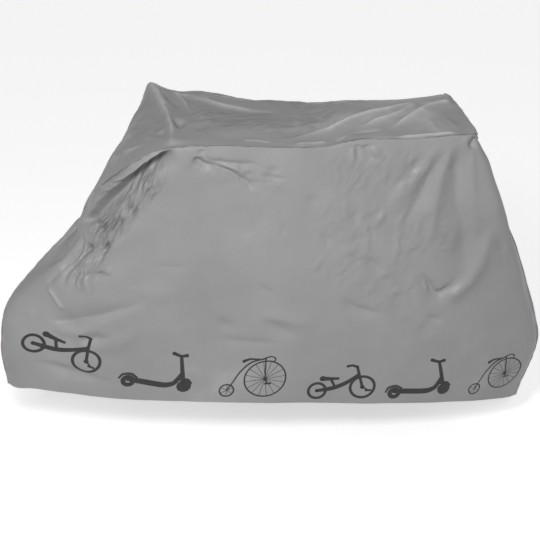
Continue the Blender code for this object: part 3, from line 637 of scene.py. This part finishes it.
def standing(edge, fins, inwards, closed=False):
    """An edge moved into its own piece by half the seam, and the rows of the fin over each point of it."""
    if closed:
        before, after = np.roll(edge, 1, axis=0), np.roll(edge, -1, axis=0)
    else:
        before = np.concatenate([2 * edge[:1] - edge[1:2], edge[:-1]])
        after = np.concatenate([edge[1:], 2 * edge[-1:] - edge[-2:-1]])
    aside = inwards * unit(np.cross(fins, after - before))
    root = edge + aside * SEAM_GAP / 2
    place = edge @ np.array((1.0, 0.6, 0.8))  # runs on along every seam, alike for the pieces it joins
    tall = FIN_HEIGHT * (0.80 + 0.50 * noise(place / FIN_NOTCH, place * 0, 73))
    lean = (inwards * aside) * ripple(place, place * 0, FIN_WAVES, 71)[:, None]
    shares = [row / FIN_ROWS for row in range(1, FIN_ROWS + 1)]
    return root, [root + fins * (tall * share)[:, None] + lean * share**2 for share in shares]


def cells_of(number):
    """The corners of each cell of a grid of numbered points."""
    cells = np.stack([number[:-1, :-1], number[1:, :-1], number[1:, 1:], number[:-1, 1:]], axis=-1)
    return cells.reshape(-1, 4)


def side_edge(grid):
    return np.concatenate([grid[0, ::-1], grid[1:, 0], grid[-1, 1:]])


def top_edge(grid):
    return np.concatenate([grid[:, 0], grid[-1, 1:], grid[-2:0:-1, -1]])


def sheet_mesh(name, grid, marks, edge_of, fins, inwards):
    """A panel's mesh: its grid of points, then the rows of its fins on the edge picked by edge_of."""
    closed = edge_of is top_edge
    number = np.arange(grid[:, :, 0].size).reshape(grid.shape[:2])
    edge = edge_of(number)
    roots, rows = standing(edge_of(grid), fins, inwards, closed)
    points = grid.reshape(-1, 3).copy()
    points[edge] = roots
    if closed:
        points[number[0]] = roots[0]  # the top panel runs to a point in front
    faces = [cells_of(number)]
    below, count = edge, number.size
    for _ in rows:
        above = count + np.arange(len(edge))
        strip = np.stack([below, np.roll(below, -1), np.roll(above, -1), above], axis=-1)
        faces.append(strip if closed else strip[:-1])
        below, count = above, count + len(edge)
    points = np.concatenate([points, *rows]) - SUPPORT
    corners = [tuple(dict.fromkeys(int(i) for i in face)) for face in np.concatenate(faces)]
    mesh = bpy.data.meshes.new(name)
    mesh.from_pydata(points.tolist(), [], [face for face in corners if len(face) > 2])
    mesh.validate()
    crisp = {frozenset(pair) for pair in zip(edge.tolist(), np.roll(edge, -1).tolist())}
    for line in mesh.edges:
        line.use_edge_sharp = frozenset(line.vertices) in crisp
    # the marks the material reads: crinkled, painted darker as shade, and pale, painted paler, partly
    # whitening and partly a painted highlight
    for kind, amount in zip(("crinkled", "pale"), marks):
        values = np.zeros(len(mesh.vertices))
        values[: amount.size] = amount.ravel()
        mesh.attributes.new(kind, "FLOAT", "POINT").data.foreach_set("value", values)
    return mesh


def placed(name, data):
    """A new object in the scene."""
    thing = bpy.data.objects.new(name, data)
    bpy.context.scene.collection.objects.link(thing)
    return thing


def soft_piece(name, mesh, material):
    for face in mesh.polygons:
        face.use_smooth = True
    mesh.materials.append(material)
    piece = placed(name, mesh)
    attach(piece, "root")
    return piece


# -------------------- materials
def filled(node, inputs):
    """A node with its inputs set to numbers, or linked to other nodes' outputs."""
    for name, value in inputs.items():
        if isinstance(value, bpy.types.NodeSocket):
            node.id_data.links.new(value, node.inputs[name])
        else:
            node.inputs[name].default_value = value
    return node


def shaded(name):
    """A new material, its nodes and its surface."""
    material = bpy.data.materials.new(name)
    material.use_nodes = True
    return material, material.node_tree, material.node_tree.nodes["Principled BSDF"]


def waves(tree, at, scale, detail, roughness=0.5, distortion=0.0):
    """Blender's noise at the place at."""
    sizes = {"Scale": scale, "Detail": detail, "Roughness": roughness, "Distortion": distortion}
    return filled(tree.nodes.new("ShaderNodeTexNoise"), {"Vector": at, **sizes}).outputs["Fac"]


def sum_of(tree, a, times, b):
    """a * times + b, each a number or an output."""
    node = tree.nodes.new("ShaderNodeMath")
    node.operation = "MULTIPLY_ADD"
    return filled(node, {0: a, 1: times, 2: b}).outputs[0]


def mark(tree, kind):
    """How strongly the mesh marks a place as crinkled or pale."""
    node = tree.nodes.new("ShaderNodeAttribute")
    node.attribute_name = kind
    return node.outputs["Fac"]


def ramp(tree, factor, *stops):
    """A colour that runs through the stops, each (place, colour)."""
    node = filled(tree.nodes.new("ShaderNodeValToRGB"), {"Fac": factor})
    elements = node.color_ramp.elements
    for i, (place, colour) in enumerate(stops):
        element = elements[i] if i < 2 else elements.new(place)
        element.position, element.color = place, (*colour, 1)
    return node.outputs["Color"]


def sheeting_material(name, slant, stretch):
    """Thin plastic sheeting: satin, a little uneven in tone, crinkled where its mesh says so with painted
    shade in the crinkles, and paler on sharp folds, partly as a painted highlight.
    """
    material, tree, surface = shaded(name)
    where = tree.nodes.new("ShaderNodeTexCoord").outputs["Object"]

    # painted shade: crinkled parts are painted darker, for the shade within their crinkles; sharply folded
    # parts are painted paler, partly whitened sheeting and partly a painted highlight
    clouds = waves(tree, where, scale=4.0, detail=6.0, roughness=0.6)
    clouded_and_crinkle_shaded = sum_of(tree, mark(tree, "crinkled"), -0.36, clouds)
    paled_and_highlit = sum_of(tree, mark(tree, "pale"), 0.5, clouded_and_crinkle_shaded)
    tone = ramp(tree, paled_and_highlit, (0.0, DARKER_AND_SHADED_GREY), (0.60, LIGHT_GREY), (1.0, PALE_AND_HIGHLIT_CREST_GREY))
    sheen = sum_of(tree, waves(tree, where, scale=22.0, detail=4.0, roughness=0.6), 0.14, 0.38)

    # crinkles, turned and drawn out, over the film's own unevenness
    turned = tree.nodes.new("ShaderNodeMapping")
    turned.vector_type = "TEXTURE"
    filled(turned, {"Vector": where, "Rotation": slant, "Scale": stretch})
    crinkles = waves(tree, turned.outputs["Vector"], scale=1.0, detail=3.0, roughness=0.55, distortion=0.9)
    masked = sum_of(tree, mark(tree, "crinkled"), crinkles, 0.0)
    smooth = sum_of(tree, waves(tree, where, scale=14.0, detail=3.0, distortion=0.8), 0.30, 0.0)
    film = sum_of(tree, waves(tree, where, scale=150.0, detail=2.0), 0.035, smooth)
    height = sum_of(tree, masked, 1.2, film)
    bump = filled(tree.nodes.new("ShaderNodeBump"), {"Strength": 0.8, "Distance": 0.006, "Height": height})
    normal = bump.outputs["Normal"]
    filled(surface, {"Base Color": tone, "Roughness": sheen, "Specular IOR Level": 0.45, "Normal": normal})
    return material


def ink_material():
    material, tree, surface = shaded("print_ink")
    where = tree.nodes.new("ShaderNodeTexCoord").outputs["Object"]
    speckles = waves(tree, where, scale=90.0, detail=4.0)
    tone = ramp(tree, speckles, (0.3, DARK_INK), (0.7, LIGHT_INK))
    filled(surface, {"Base Color": tone, "Roughness": 0.5, "Specular IOR Level": 0.3})
    return material


# -------------------- making the panels
def held(cells, front, rear):
    """From 0 at a panel's front and rear edges to 1 so many cells in."""
    number = np.arange(cells)
    return ease_in(number / front)[:, None] * ease_in(number[::-1] / rear)[:, None]


def finished(base, side, upward, hold, creases, crumples, seed, hollow=None):
    """A panel's grid with its folds, and how crinkled and how pale it is at each point."""
    along, level = base[:, :, 0], base[:, :, upward]
    rise, lean_along, lean_level, *marks = creased(along, level, creases, crumples)
    soft = wandering(along, level, seed)
    rise += hollowed(base, hollow) + soft if hollow else soft
    moved = normals_of(base, side) * rise[:, :, None]
    moved[:, :, 0] += lean_along
    moved[:, :, upward] += lean_level
    return base + moved * hold[:, :, None], marks


def finished_side(base, side, creases, crumples, seed, hollow):
    hold = ease_in(DOWN / SIDE_HOLD) * held(len(base), SIDE_HOLD_FRONT, SIDE_HOLD_REAR)
    return finished(base, side, 2, hold, creases, crumples, seed, hollow)


def panel(name, grid, marks, edge_of, fins, inwards, crinkles):
    mesh = sheet_mesh(f"{name}_cloth", grid, marks, edge_of, fins, inwards)
    piece = soft_piece(f"{name}_cloth", mesh, sheeting_material(f"{name}_sheeting", *crinkles))
    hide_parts(f"{name}_panel")
    return piece


top = top_base()
left, right = side_base(LEFT, top), side_base(RIGHT, top)
fins = seam_fins(top, left, right)
left_grid, left_marks = finished_side(left, LEFT, LEFT_CREASES, LEFT_CRUMPLES, 101, LEFT_HOLLOW)
right_grid, right_marks = finished_side(right, RIGHT, RIGHT_CREASES, RIGHT_CRUMPLES, 111, RIGHT_HOLLOW)
top_hold = ease_in((1 - np.abs(ACROSS)) / TOP_HOLD) * held(len(top), TOP_HOLD_FRONT, TOP_HOLD_REAR)
top_grid, top_marks = finished(top, RIGHT, 1, top_hold, TOP_CREASES, TOP_CRUMPLES, 121)

left_cloth = panel("left", left_grid, left_marks, side_edge, fins[LEFT], LEFT, SIDE_CRINKLES)
right_cloth = panel("right", right_grid, right_marks, side_edge, fins[RIGHT], RIGHT, SIDE_CRINKLES)
top_cloth = panel("top", top_grid, top_marks, top_edge, fins["top"], RIGHT, TOP_CRINKLES)


# -------------------- the printed row
# A motif is drawn as grids of points, across and up from the middle of its foot, from sizes in millimetres.
INK_WEIGHT = 1.3  # how much bolder the lines are than the motifs give them
INK_STEP, INK_LANE = 0.004, 0.006  # about how long and how wide its cells are
INK_LIFT = 0.0003


def band(centre, radius, width):
    """A round band of ink, given in metres."""
    turns = max(16, math.ceil(2 * math.pi * radius / INK_STEP))
    angles = np.linspace(0, 2 * math.pi, turns + 1)
    spoke = np.column_stack([np.cos(angles), np.sin(angles)])
    radii = radius + INK_WEIGHT * width * np.linspace(-0.5, 0.5, math.ceil(width / INK_LANE) + 1)
    return centre + spoke[:, None] * radii[None, :, None]


def ring(centre, radius, width):
    return [band(metres(np.array(centre)), metres(radius), metres(width))]


def disc(centre, radius):
    return ring(centre, radius / 2, radius)


def stroke(points, widths, round_ends=True):
    """A line of ink that curves through points, as wide as widths says at each of them."""
    points = metres(np.array(points, float))
    widths = metres(np.broadcast_to(np.array(widths, float), len(points))) * INK_WEIGHT
    line = np.column_stack([points, widths])
    steps = run_along(points)
    at = divided(*[(a, b, math.ceil((b - a) / INK_STEP)) for a, b in zip(steps, steps[1:])])
    if len(points) > 2:
        line = spline(steps, line, at)
    else:
        line = np.column_stack([np.interp(at, steps, column) for column in line.T])
    way = unit(np.gradient(line[:, :2], axis=0))
    aside = np.column_stack([-way[:, 1], way[:, 0]])
    shares = np.linspace(-0.5, 0.5, math.ceil(widths.max() / INK_LANE) + 1)
    ribbon = line[:, None, :2] + aside[:, None] * (line[:, 2:, None] * shares[None, :, None])
    ends = (line[0], line[-1]) if round_ends else ()
    return [ribbon, *(band(np.array((x, y)), width / 4, width / 2) for x, y, width in ends)]


def spokes(centre, reach, number):
    """Thin lines straight across a wheel."""
    shapes = []
    for k in range(number):
        angle = math.pi * (k + 0.5) / number
        half = reach * np.array((math.cos(angle), math.sin(angle)))
        shapes += stroke([centre - half, centre + half], 1.1, round_ends=False)
    return shapes


TRICYCLE = [
    *ring((72, 38), 36, 6.5),
    *ring((-62, 27), 25.5, 6.5),
    *disc((72, 38), 6),
    *disc((-62, 27), 5),
    *stroke([(72, 38), (58, 86), (52, 108)], 6.5),
    *stroke([(52, 108), (36, 113), (24, 110)], 6),
    *stroke([(56, 80), (20, 52), (-20, 34), (-62, 27)], [7, 10, 11, 8]),
    *stroke([(-10, 40), (-22, 64)], 6),
    *stroke([(-48, 68), (-26, 67), (-2, 68)], [12, 9, 6]),
    *stroke([(72, 38), (90, 26)], 4),
    *stroke([(84, 26), (97, 26)], 5),
]
KICK_SCOOTER = [
    *ring((-78, 20), 13.5, 10.5),
    *ring((78, 20), 13.5, 10.5),
    *stroke([(-78, 26), (-48, 24), (20, 18), (46, 26), (64, 60)], [10, 14, 14, 12, 9]),
    *stroke([(-104, 26), (-96, 40), (-76, 45), (-58, 36)], [4, 6, 6, 5]),
    *stroke([(78, 20), (66, 60), (50, 118)], [9, 9, 7]),
    *stroke([(28, 126), (50, 119), (64, 122)], [8, 7, 8]),
    *stroke([(60, 40), (82, 42), (96, 32)], [4, 7, 4]),
]
HIGH_WHEELER = [
    *ring((36, 62), 57.5, 3.4),
    *ring((-66, 22), 19.5, 3.4),
    *spokes((36, 62), 56.5, 8),
    *spokes((-66, 22), 19, 3),
    *disc((36, 62), 5),
    *stroke([(30, 128), (-4, 118), (-36, 84), (-54, 46), (-66, 22)], [4, 4, 3.5, 3, 3]),
    *stroke([(36, 62), (30, 130)], 3),
    *stroke([(-30, 119), (-12, 126), (12, 126)], [7, 5, 3]),
    *stroke([(30, 130), (46, 134), (58, 126), (54, 116)], 3),
    *stroke([(36, 62), (44, 48)], 3),
    *stroke([(38, 46), (52, 47)], 4),
]

# Where a motif's foot is, in millimetres: along the hem from the middle of the wheelbase, and above the
# hem. It leans over by tilt, in degrees, and is drawn at size times its own size.
Motif = namedtuple("Motif", "shapes along lift tilt size")
ROW = [
    Motif(TRICYCLE, -728, 120, -18, 1.15),
    Motif(KICK_SCOOTER, -415, 45, -5, 1.15),
    Motif(HIGH_WHEELER, -110, 22, 0, 1.15),
    Motif(TRICYCLE, 175, 20, 2, 1.10),
    Motif(KICK_SCOOTER, 450, 26, 5, 1.10),
    Motif(HIGH_WHEELER, 725, 40, 10, 1.05),
]


def print_row(name, grid, side, motifs, ink):
    """A row of printed motifs, laid on a side panel's own surface from the hem up."""
    outward = normals_of(grid, side)[:, ::-1]
    grid = grid[:, ::-1]
    hem_run = run_along(grid[:, 0])
    middle = np.interp(0.0, grid[:, 0, 0], hem_run)
    up = np.zeros(grid.shape[:2])
    up[:, 1:] = np.cumsum(np.linalg.norm(np.diff(grid, axis=1), axis=2), axis=1)
    columns, rows = (np.arange(size) for size in grid.shape[:2])

    def laid(along, level):
        """The points of the surface that lie so far along the hem and so far up from it."""
        column = np.clip(np.interp(along + middle, hem_run, columns), 0, len(grid) - 1.001)
        i = column.astype(int)
        share = (column - i)[:, None]
        heights = up[i] * (1 - share) + up[i + 1] * share
        row = np.array([np.interp(high, steps, rows) for high, steps in zip(level, heights)])
        j = np.clip(row.astype(int), 0, len(rows) - 2)
        rest = (row - j)[:, None]

        def read(values):
            lower = values[i, j] * (1 - share) + values[i + 1, j] * share
            upper = values[i, j + 1] * (1 - share) + values[i + 1, j + 1] * share
            return lower * (1 - rest) + upper * rest

        return read(grid) + unit(read(outward)) * INK_LIFT

    points, faces, count = [], [], 0
    for motif in motifs:
        cos, sin = math.cos(math.radians(motif.tilt)), math.sin(math.radians(motif.tilt))
        for shape in motif.shapes:
            across, high = shape.reshape(-1, 2).T * motif.size
            along = metres(motif.along) - side * (across * cos - high * sin)
            level = metres(motif.lift) + across * sin + high * cos
            points.append(laid(along, level))
            faces.append(count + cells_of(np.arange(len(across)).reshape(shape.shape[:2])))
            count += len(across)
    mesh = bpy.data.meshes.new(name)
    mesh.from_pydata((np.concatenate(points) - SUPPORT).tolist(), [], np.concatenate(faces).tolist())
    return soft_piece(name, mesh, ink)


ink = ink_material()
left_print = print_row("left_print", left_grid, LEFT, ROW, ink)
right_print = print_row("right_print", right_grid, RIGHT, ROW, ink)


# -------------------- floor, light and camera
def paper_floor(height, reach):
    """Wide pale paper that glows a little, so that it stays pale in the cover's shade."""
    material, _, surface = shaded("floor_paper")
    filled(surface, {"Base Color": (0.94, 0.94, 0.94, 1), "Roughness": 0.9})
    filled(surface, {"Emission Color": (1, 1, 1, 1), "Emission Strength": 0.44})
    corners = [(reach * x, reach * y, height) for x, y in ((-1, -1), (1, -1), (1, 1), (-1, 1))]
    mesh = bpy.data.meshes.new("floor")
    mesh.from_pydata(corners, [], [(0, 1, 2, 3)])
    mesh.materials.append(material)
    return placed("floor", mesh)


def lamp(name, kind, way, **settings):
    """A light that shines along way."""
    data = bpy.data.lights.new(name, kind)
    for setting, value in settings.items():
        setattr(data, setting, value)
    light = placed(name, data)
    light.rotation_mode = "QUATERNION"
    light.rotation_quaternion = Vector(way).to_track_quat("-Z", "Y")
    return light


floor = paper_floor(-float(SUPPORT[2]), 30)
floor.visible_diffuse = False  # the world's lower half and a light from below stand for the light
floor.visible_shadow = False  # that the paper throws back

KEY_AT, KEY_AIM = Vector((-0.90, -2.60, 1.15)), Vector((-0.15, 0, -0.40))
key = lamp("key", "AREA", KEY_AIM - KEY_AT, shape="DISK", size=0.6, energy=60)
key.location = KEY_AT
key.visible_camera = False
lamp("sun", "SUN", (0.16, 0.84, -0.54), angle=math.radians(14), energy=0.95)
lamp("rebound", "SUN", (-0.25, -0.90, 0.36), angle=math.radians(60), energy=0.9)  # off the paper behind

world = bpy.data.worlds.new("studio")
world.use_nodes = True
tree = world.node_tree
direction = tree.nodes.new("ShaderNodeTexCoord").outputs["Generated"]
way_up = filled(tree.nodes.new("ShaderNodeSeparateXYZ"), {"Vector": direction}).outputs["Z"]
sky = ramp(tree, way_up, (0.0, (1, 1, 1)), (0.2, (.80, .80, .80)))
filled(tree.nodes["Background"], {"Color": sky, "Strength": 0.40})
bpy.context.scene.world = world
bpy.context.scene.view_settings.view_transform = "Standard"

# The photo's camera, from the two wheels that show in it
EYE = (-0.5485, -3.8287, 2.0484)
YAW, PITCH, ROLL = 0.13500, 0.36187, 0.02668
FOCAL_PIXELS, IMAGE_PIXELS, SENSOR = 1287.14, 540, 36.0

ahead = Vector((math.sin(YAW) * math.cos(PITCH), math.cos(YAW) * math.cos(PITCH), -math.sin(PITCH)))
level_right = Vector((math.cos(YAW), -math.sin(YAW), 0))
level_up = level_right.cross(ahead)
image_right = level_right * math.cos(ROLL) + level_up * math.sin(ROLL)
image_up = level_up * math.cos(ROLL) - level_right * math.sin(ROLL)
camera_data = bpy.data.cameras.new("camera")
camera_data.sensor_width = SENSOR
camera_data.lens = FOCAL_PIXELS / IMAGE_PIXELS * SENSOR
camera = placed("camera", camera_data)
turned = Matrix((image_right, image_up, -ahead)).transposed()
camera.matrix_world = Matrix.Translation(Vector(EYE) - Vector(SUPPORT)) @ turned.to_4x4()
bpy.context.scene.camera = camera
